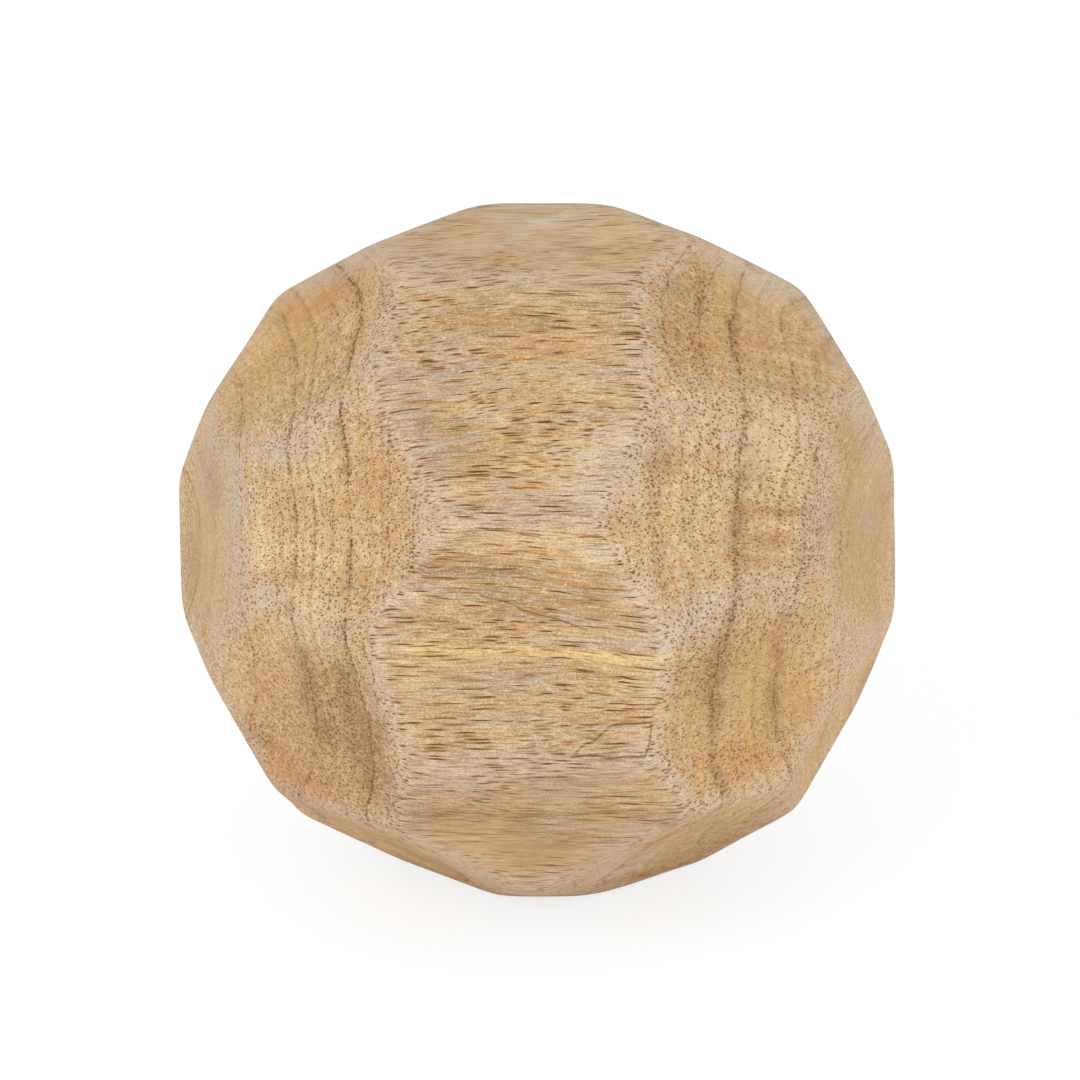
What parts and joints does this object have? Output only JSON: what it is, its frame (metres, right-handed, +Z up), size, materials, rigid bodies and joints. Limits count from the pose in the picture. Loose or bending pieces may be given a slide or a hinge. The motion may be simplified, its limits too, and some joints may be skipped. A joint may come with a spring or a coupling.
{
  "type": "faceted wooden ball",
  "caption": "Solid wooden ball ground by hand into many flats that meet in soft worn ridges; it rests on one flat.",
  "frame": {"origin": "on the five-sided flat that the ball rests on, straight under the middle of the ball", "axes": "+Z up, out of the resting flat; X along the grain of the wood; -Y towards the front, where the picture looks from"},
  "size_m": [0.0996, 0.0966, 0.096],
  "materials": {
    "wood": "sanded smooth, pale worn ridges, open dark pores, no gloss"
  },
  "bodies": {
    "root": {"ball": "wood"}
  },
  "joints": []
}
